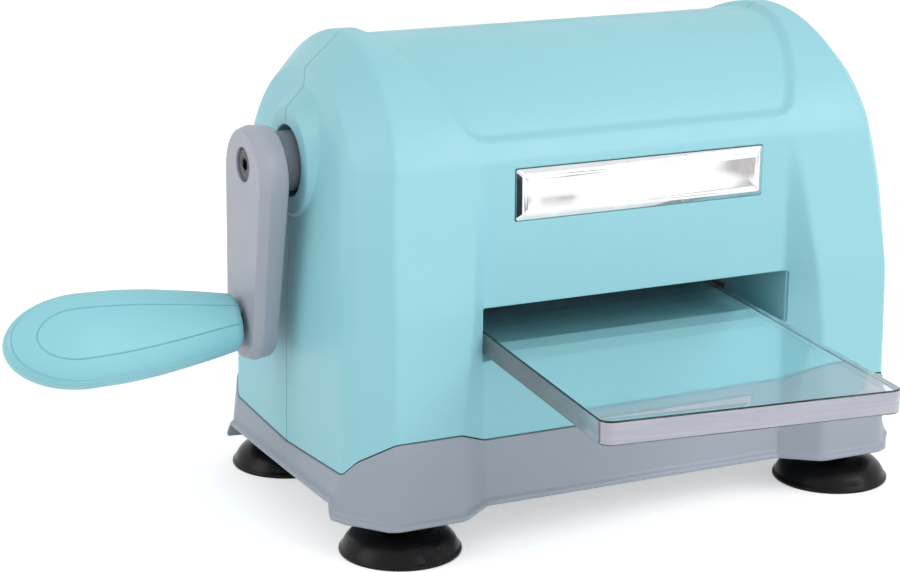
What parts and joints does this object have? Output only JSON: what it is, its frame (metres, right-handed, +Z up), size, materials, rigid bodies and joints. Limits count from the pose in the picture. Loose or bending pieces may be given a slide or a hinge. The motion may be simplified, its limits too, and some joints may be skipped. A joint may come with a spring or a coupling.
{
  "type": "die cutting machine",
  "caption": "Hand-cranked roller die cutting machine: arched moulded housing, feed slot with a clear platform plate, geared steel rollers, side crank and suction cup feet.",
  "frame": {"origin": "on the table, under the middle of the whole machine's bounding box with the crank and the plate as they stand", "axes": "+X to the right of someone feeding the plate in at the front, along the rollers; +Y from front to back; +Z up"},
  "size_m": [0.3768, 0.2841, 0.202],
  "materials": {
    "housing_aqua": "satin moulded",
    "handle_aqua": "satin moulded",
    "base_grey": "satin moulded",
    "arm_grey": "satin moulded",
    "hub_grey": "satin moulded",
    "cup_rubber": "glossy",
    "nameplate_chrome": "mirror",
    "bright_steel": "turned",
    "plated_sheet": "zinc plated",
    "dark_screw": "black oxide",
    "bronze_bush": "sintered",
    "gear_steel": "cut teeth",
    "clear_acrylic": "polished clear"
  },
  "bodies": {
    "machine": {"housing_front": "housing_aqua", "housing_rear": "housing_aqua", "nameplate": "nameplate_chrome", "base_tray": "base_grey", "suction_cup_front_left": "cup_rubber", "suction_cup_front_right": "cup_rubber", "suction_cup_rear_left": "cup_rubber", "suction_cup_rear_right": "cup_rubber", "cup_screw_front_left": "dark_screw", "cup_screw_front_right": "dark_screw", "cup_screw_rear_left": "dark_screw", "cup_screw_rear_right": "dark_screw", "foot_screw_left_front": "dark_screw", "foot_screw_left_rear": "dark_screw", "foot_screw_right_front": "dark_screw", "foot_screw_right_rear": "dark_screw", "housing_screw_high_left": "dark_screw", "housing_screw_high_right": "dark_screw", "housing_screw_low_left": "dark_screw", "housing_screw_low_right": "dark_screw", "side_frame_left": "plated_sheet", "side_frame_right": "plated_sheet", "gear_plate": "plated_sheet", "tie_rod_low_front": "bright_steel", "tie_rod_low_rear": "bright_steel", "tie_rod_high_front": "bright_steel", "tie_rod_high_rear": "bright_steel", "spacer_post_low_front": "bright_steel", "spacer_post_low_rear": "bright_steel", "spacer_post_high_front": "bright_steel", "spacer_post_high_rear": "bright_steel", "roller_bush_upper_right": "bronze_bush", "roller_bush_lower_right": "bronze_bush", "roller_bush_upper_left": "bronze_bush", "roller_bush_lower_left": "bronze_bush", "crank_bush_inner": "bronze_bush", "crank_bush_outer": "bronze_bush"},
    "crank": {"crank_shaft": "bright_steel", "pinion": "gear_steel", "crank_arm": "arm_grey", "crank_hub": "hub_grey", "crank_bolt": "dark_screw", "handle_pin": "bright_steel", "crank_clip": "dark_screw"},
    "handle": {"handle_front_half": "handle_aqua", "handle_rear_half": "handle_aqua", "handle_inlay": "handle_aqua"},
    "upper_roller_set": {"upper_roller": "bright_steel", "drive_gear": "gear_steel", "upper_roller_gear": "gear_steel", "upper_clip_right": "dark_screw", "upper_clip_left": "dark_screw"},
    "lower_roller_set": {"lower_roller": "bright_steel", "lower_roller_gear": "gear_steel", "lower_clip_right": "dark_screw", "lower_clip_left": "dark_screw"},
    "platform": {"feed_plate": "clear_acrylic"}
  },
  "joints": [
    {"name": "crank_spin", "type": "hinge", "parent": "machine", "child": "crank", "pos_m": [-0.07435, 0.05785, 0.15045], "axis": [1, 0, 0], "continuous": true},
    {"name": "handle_spin", "type": "hinge", "parent": "crank", "child": "handle", "pos_m": [-0.09135, 0.06371, 0.08351], "axis": [1, 0, 0], "continuous": true},
    {"name": "upper_roller_spin", "type": "hinge", "parent": "machine", "child": "upper_roller_set", "pos_m": [0.05715, 0.05785, 0.10445], "axis": [1, 0, 0], "continuous": true},
    {"name": "lower_roller_spin", "type": "hinge", "parent": "machine", "child": "lower_roller_set", "pos_m": [0.05715, 0.05785, 0.06445], "axis": [1, 0, 0], "continuous": true},
    {"name": "plate_feed", "type": "slide", "parent": "machine", "child": "platform", "axis": [0.1097, 0.994, 0], "range_m": [-0.005, 0.18]}
  ],
  "couplings": [
    {"joint": "upper_roller_spin", "follows": "crank_spin", "ratio": -0.4375},
    {"joint": "lower_roller_spin", "follows": "crank_spin", "ratio": 0.4375}
  ]
}
